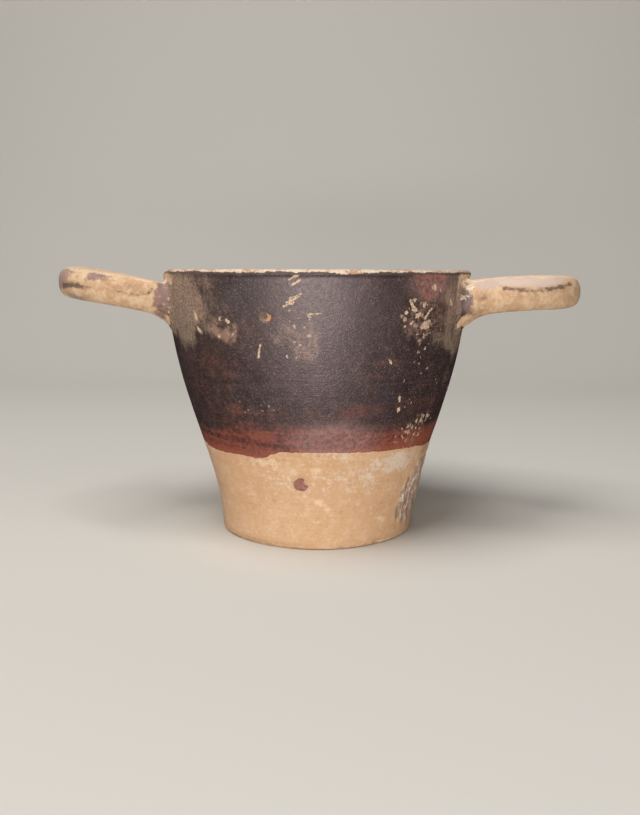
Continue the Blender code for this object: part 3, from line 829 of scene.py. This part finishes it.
def slipTone(add, pattern, field, tone):
    cloudy = add("MapRange", eased, pattern["mottle"], 0.3, 0.7, 0, 0.55)
    slip = add("Mix", blend, cloudy, tone["slip"], tone["slipLight"])
    grainy = add("MapRange", eased, pattern["grit"], 0.42, 0.66, 0, 0.5)
    slip = add("Mix", blend, grainy, slip, tone["slipLight"])
    sunk = add("MapRange", eased, pattern["speckle"], 0.48, 0.34, 0, 0.7)
    slip = add("Mix", blend, sunk, slip, tone["slip"])
    brown = add("MapRange", eased, pattern["drift"], 0.46, 0.62, 0, 0.6)
    slip = add("Mix", blend, brown, slip, tone["slipBrown"])
    cold = add("Math", times, field["blue"], add("MapRange", eased, pattern["mottle"], 0.3, 0.6, 0, 0.9))
    slip = add("Mix", blend, cold, slip, tone["slipBlue"])
    turned = add("Math", times, pattern["low"], add("MapRange", eased, pattern["wheel"], 0.5, 0.66, 0, 0.7))
    slip = add("Mix", blend, turned, slip, tone["slipLight"])
    streaked = add("Math", plus, pattern["bands"], pattern["mottle"])
    streaked = add("Math", times, add("Math", minus, streaked, 1.0), 0.6)
    streaked = add("Math", plus, streaked, add("Math", times, pattern["wobble"], 0.5))
    misfired = add("MapRange", eased, add("Math", plus, field["red"], streaked), 0.05, 1.0, 0, 0.94)
    thin = add("Math", plus, pattern["bands"], add("Math", times, pattern["wobble"], 0.5))
    thin = add("Math", plus, thin, add("Math", times, field["red"], -0.06))
    reds = add("Mix", blend, add("MapRange", eased, thin, 0.26, 0.56), tone["slipRed"], tone["slipRedLight"])
    slip = add("Mix", blend, misfired, slip, reds)
    rusty = add("Math", plus, field["rust"], add("Math", times, streaked, 0.6))
    slip = add("Mix", blend, add("MapRange", eased, rusty, 0.15, 1.3, 0, 0.8), slip, tone["slipRust"])
    filmed = add("MapRange", eased, pattern["grit"], 0.34, 0.62)
    filmed = add("Mix", blend, filmed, tone["oliveDark"], tone["olive"])
    patchy = add("Math", times, add("Math", minus, pattern["mottle"], 0.5), 2.4)
    patchy = add("Math", plus, patchy, add("Math", times, add("Math", minus, pattern["streaks"], 0.5), 1.6))
    patchy = add("Math", plus, 1.0, patchy)
    thick = add("Math", times, field["olive"], patchy)
    slip = add("Mix", blend, add("MapRange", eased, thick, 0.05, 0.9, 0, 0.9), slip, filmed)
    spotty = add("Math", times, add("Math", minus, pattern["speckle"], 0.5), 5.0)
    worn = add("Math", times, field["tan"], add("Math", plus, patchy, spotty))
    slip = add("Mix", blend, add("MapRange", eased, worn, 0.15, 1.4, 0, 0.8), slip, tone["slipTan"])
    # a thin pinkish veil: lime on most of the slip, and a painted sheen across the front of the red band
    veilAndSheen = add("Math", times, field["haze"], add("MapRange", eased, pattern["speckle"], 0.3, 0.66, 0.15, 0.5))
    slip = add("Mix", blend, veilAndSheen, slip, tone["slipHazeAndSheen"])
    # fine pale flecks all over, where the slip is rubbed
    rubbed = add("Math", plus, pattern["grit"], add("Math", times, pattern["mottle"], 0.35))
    return add("Mix", blend, add("MapRange", eased, rubbed, 0.7, 0.86, 0, 0.3), slip, tone["fleck"])


def scratched(add, pattern):
    # distance to the nearest scratch, on the unrolled wall
    nearest = None
    for start, end, half in wear["scratches"]:
        first = Vector((math.radians(start[0]) * wallRadius, start[1], 0))
        run = Vector((math.radians(end[0]) * wallRadius, end[1], 0)) - first
        offset = add("VectorMath", minus, pattern["unrolled"], first)
        reach = add("VectorMath", {"operation": "DOT_PRODUCT"}, offset, run / run.length_squared)
        reach = add("Math", {"operation": "ADD", "use_clamp": True}, reach, 0)
        foot = add("VectorMath", {"operation": "SCALE"}, run, reach)
        gap = add("Math", minus, add("VectorMath", {"operation": "DISTANCE"}, offset, foot), half)
        nearest = gap if nearest is None else add("Math", least, nearest, gap)
    ragged = add("Math", plus, nearest, add("Math", times, pattern["wobble"], 2.0))
    return add("MapRange", eased, ragged, 0.14, -0.2)


def firedClay():
    material = bpy.data.materials.new("slippedFiredClay")
    material.use_nodes = True
    tree = material.node_tree
    tree.nodes.clear()
    add = functools.partial(addNode, tree)
    tone = {name: linear(value) for name, value in finish.items() if isinstance(value, str)}
    field = {name: add("Attribute", {"attribute_name": name}, output="Fac") for name in fields}
    pattern = surfacePatterns(add)
    wobble = pattern["wobble"]

    # flakes lost from the slip: every cell has its own luck, and the more a place flaked, the larger they are
    luck = add("SeparateColor", {}, pattern["chips"].node.outputs["Color"]).node.outputs
    loose = add("Math", plus, luck["Red"], add("Math", times, field["flakes"], 0.4))
    size = add("MapRange", {}, loose, 0.97, 1.4, -0.04, 0.72)
    ragged = add("Math", times, size, add("Math", plus, 1.1, add("Math", times, wobble, 2.6)))
    flaked = add("MapRange", eased, add("Math", minus, ragged, pattern["chips"]), 0.0, 0.12)
    flaked = add("Math", times, flaked, add("MapRange", {}, luck["Green"], 0, 1, 0.35, 1.0))
    outside = add("Math", minus, 0.85, field["inside"])
    flaked = add("Math", most, flaked, add("Math", times, scratched(add, pattern), outside))
    bared = add("MapRange", eased, pattern["grit"], 0.34, 0.5)
    bared = add("Mix", blend, bared, tone["flakeDim"], tone["flake"])
    slip = add("Mix", blend, flaked, slipTone(add, pattern, field, tone), bared)

    slipEdge = add("Math", plus, field["slip"], add("Math", times, wobble, 1.2))
    slipped = add("MapRange", eased, slipEdge, -0.1, 0.12)
    base = add("Mix", blend, slipped, clayTone(add, pattern, field, tone), slip)

    # handles: a worn film of slip, pale on the right and brown on the left
    filmEdge = add("Math", times, add("Math", minus, pattern["mottle"], 0.5), 4.0)
    filmEdge = add("Math", plus, field["film"], filmEdge)
    filmEdge = add("Math", plus, filmEdge, add("Math", times, wobble, 2.0))
    filmed = add("MapRange", eased, filmEdge, -0.1, 0.9, 0, 0.9)
    filmed = add("Math", times, filmed, add("MapRange", eased, pattern["speckle"], 0.66, 0.54, 0.35, 1.0))
    filmTone = add("Mix", blend, field["filmShare"], tone["film"], tone["filmDark"])
    base = add("Mix", blend, filmed, base, filmTone)

    # pale clay where worn bare, and on the arms' up-facing tops a painted top light
    paleEdge = add("Math", plus, field["pale"], add("Math", times, wobble, 3.0))
    pale = add("MapRange", eased, paleEdge, -0.4, 1.0)
    pale = add("Math", times, pale, add("MapRange", eased, pattern["speckle"], 0.36, 0.56, 0.35, 0.95))
    base = add("Mix", blend, pale, base, tone["clayPale"])

    # the lip is worn bare, with a brown line under it: partly thick slip, partly painted shade under the
    # lip's bead
    lipEdge = add("Math", plus, field["lipBare"], add("Math", times, wobble, 1.8))
    shade = add("MapRange", eased, lipEdge, -1.3, -0.35)
    shade = add("Math", times, shade, add("MapRange", eased, lipEdge, 0.3, 0.1, 0, 0.85))
    base = add("Mix", blend, shade, base, tone["lipShade"])
    dull = add("Math", plus, pattern["speckle"], pattern["mottle"])
    lipTone = add("Mix", blend, add("MapRange", eased, dull, 1.02, 0.88), tone["lip"], tone["lipBrown"])
    worn = add("MapRange", eased, lipEdge, -0.08, 0.15)
    base = add("Mix", blend, worn, base, lipTone)

    crustEdge = add("Math", times, add("Math", minus, pattern["runs"], 0.5), 2.2)
    crustEdge = add("Math", times, field["crust"], add("Math", plus, 0.95, crustEdge))
    crusted = add("MapRange", eased, crustEdge, 0.15, 0.8, 0, 0.85)
    limy = add("MapRange", eased, pattern["runs"], 0.48, 0.6)
    crustTone = add("Mix", blend, limy, tone["crust"], tone["limeBright"])
    # dark streaks in the crust are painted shade, as if in its hollows
    hollowShade = add("MapRange", eased, pattern["streaks"], 0.52, 0.4, 0, 0.75)
    crustTone = add("Mix", blend, hollowShade, crustTone, tone["crustShade"])
    base = add("Mix", blend, crusted, base, crustTone)

    # grime, and the painted shadow line above the foot, laid on in two browns
    smearedAndShaded = add("Math", times, field["grime"], add("Math", plus, 0.7, add("Math", times, wobble, 2.0)))
    base = add("Mix", blend, add("MapRange", eased, smearedAndShaded, 0.05, 1.1, 0, 0.6), base, tone["grimeAndShadeLight"])
    dirtyAndShaded = add("Math", times, field["grime"], 0.25)
    dirtyAndShaded = add("Math", plus, dirtyAndShaded, add("Math", times, pattern["mottle"], 0.4))
    dirtyAndShaded = add("Math", plus, dirtyAndShaded, add("Math", times, pattern["speckle"], 0.4))
    dirtyAndShaded = add("MapRange", eased, dirtyAndShaded, 0.58, 0.7, 0, 0.85)
    base = add("Mix", blend, dirtyAndShaded, base, tone["grime"])

    dulled = add("Math", most, add("Math", most, flaked, worn), add("Math", most, crusted, filmed))
    dulled = add("Math", most, dulled, shade)
    gloss = add("Math", {"operation": "MULTIPLY", "use_clamp": True}, slipped, add("Math", minus, 1, dulled))
    uneven = add("MapRange", {}, pattern["speckle"], 0.35, 0.65, finish["slipGloss"], finish["wornGloss"])
    rough = add("MapRange", {}, gloss, 0, 1, finish["clayMatt"], uneven)

    # relief in millimetres: the slip is a skin about a tenth thick, the clay has grit and turning marks
    height = add("Math", times, slipped, 0.09)
    height = add("Math", plus, height, add("Math", times, pattern["grit"], 0.1))
    turned = add("Math", times, pattern["wheel"], pattern["low"])
    height = add("Math", plus, height, add("Math", times, turned, 0.06))
    height = add("Math", plus, height, add("Math", times, pattern["speckle"], 0.12))
    height = add("Math", plus, height, add("Math", times, add("Math", times, crusted, pattern["runs"]), 0.6))
    bump = add("Bump", {}, {"Strength": 1.0, "Distance": mm, "Height": height})
    inputs = {
        "Base Color": base,
        "Roughness": rough,
        "IOR": finish["ior"],
        "Specular Tint": finish["sheen"],
        "Normal": bump,
    }
    shader = add("BsdfPrincipled", {}, inputs)
    add("OutputMaterial", {}, shader)
    return material


skyphosMesh.materials.clear()
skyphosMesh.materials.append(firedClay())
print("finish made")

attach(skyphos, "root")
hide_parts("skyphos")

# studio, in metres: pale paper that curves up behind; a soft lamp in front, a low strip, and two broad ones
studio = {
    "width": 3.0,
    "front": -1.6,
    "back": 0.9,
    "wall": 1.6,
    "curve": 0.5,
    "paper": "#d2cfc9",
    "air": 0.1,
    "lamps": [
        {"name": "front", "at": (-0.08, -1.0, 0.22), "aim": (0, 0, 0.06), "size": (0.5, 0.4), "power": 1.22},
        {"name": "low", "at": (0.0, -0.62, 0.035), "aim": (0, 0, 0.06), "size": (0.3, 0.05), "power": 1.8},
        {"name": "above", "at": (-0.25, -0.35, 1.15), "aim": (0, 0, 0.06), "size": (0.7, 0.7), "power": 13.0},
        {"name": "aside", "at": (0.95, -0.6, 0.6), "aim": (0, 0, 0.05), "size": (0.7, 0.7), "power": 1.0},
    ],
}


def unrollPaper():
    build = bmesh.new()
    line = [(studio["front"], 0.0), (studio["back"], 0.0), (studio["back"], studio["wall"])]
    corners = [build.verts.new((-studio["width"] / 2, y, z)) for y, z in line]
    for pair in zip(corners, corners[1:]):
        build.edges.new(pair)
    bmesh.ops.bevel(
        build,
        geom=[corners[1]],
        offset=studio["curve"],
        affect="VERTICES",
        segments=24,
        profile=0.5,
        material=-1,
    )
    grown = bmesh.ops.extrude_edge_only(build, edges=build.edges[:])["geom"]
    moved = [item for item in grown if isinstance(item, bmesh.types.BMVert)]
    bmesh.ops.translate(build, vec=(studio["width"], 0, 0), verts=moved)
    paper = objectFrom(build, "paper")
    paper.data.shade_smooth()
    material = bpy.data.materials.new("mattPaper")
    material.use_nodes = True
    shader = material.node_tree.nodes["Principled BSDF"]
    shader.inputs["Base Color"].default_value = linear(studio["paper"])
    shader.inputs["Roughness"].default_value = 0.9
    paper.data.materials.append(material)
    paper.visible_glossy = False  # flagged off, so the slip shows the lamps and not a veil of paper


def hangLamps():
    for lamp in studio["lamps"]:
        light = bpy.data.lights.new(lamp["name"], "AREA")
        light.shape = "RECTANGLE"
        light.size, light.size_y = lamp["size"]
        light.energy = lamp["power"]
        light.color = (1.0, 0.975, 0.94)
        holder = bpy.data.objects.new(lamp["name"], light)
        bpy.context.collection.objects.link(holder)
        holder.location = lamp["at"]
        holder.visible_camera = False
        aim = Vector(lamp["aim"]) - Vector(lamp["at"])
        holder.rotation_euler = aim.to_track_quat("-Z", "Y").to_euler()
    world = bpy.data.worlds.new("studio")
    world.use_nodes = True
    world.node_tree.nodes["Background"].inputs["Strength"].default_value = studio["air"]
    world.node_tree.nodes["Background"].inputs["Color"].default_value = (1, 1, 1, 1)
    bpy.context.scene.world = world
    world.cycles_visibility.glossy = False
    bpy.context.scene.view_settings.view_transform = "Standard"


unrollPaper()
hangLamps()
print("studio lit")
